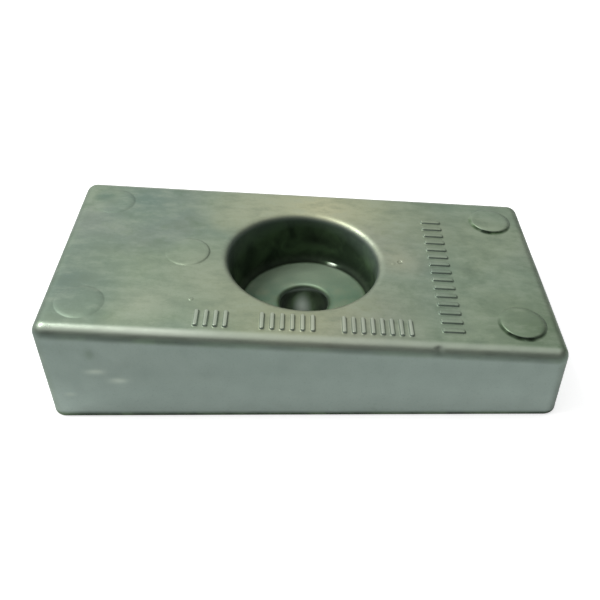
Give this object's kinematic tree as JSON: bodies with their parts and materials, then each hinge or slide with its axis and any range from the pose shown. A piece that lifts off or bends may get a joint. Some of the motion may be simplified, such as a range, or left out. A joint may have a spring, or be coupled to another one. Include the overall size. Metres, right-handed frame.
{
  "type": "sacrificial anode",
  "caption": "Wedge-shaped cast zinc block with a deep round bolt recess in its sloping top and a bolt hole through to its flat mounting face.",
  "frame": {"origin": "centre of the flat mounting face, on the axis of the bolt hole", "axes": "+X along the block from the thick end to the thin end, +Y across the block, +Z away from the mounting face, out of the bolt recess"},
  "size_m": [0.102, 0.052, 0.0239],
  "materials": {
    "cast_zinc": "as-cast zinc alloy, dull grey with a satin skin, mottled, brighter along the rounded edges"
  },
  "bodies": {
    "root": {"anode": "cast_zinc"}
  },
  "joints": []
}
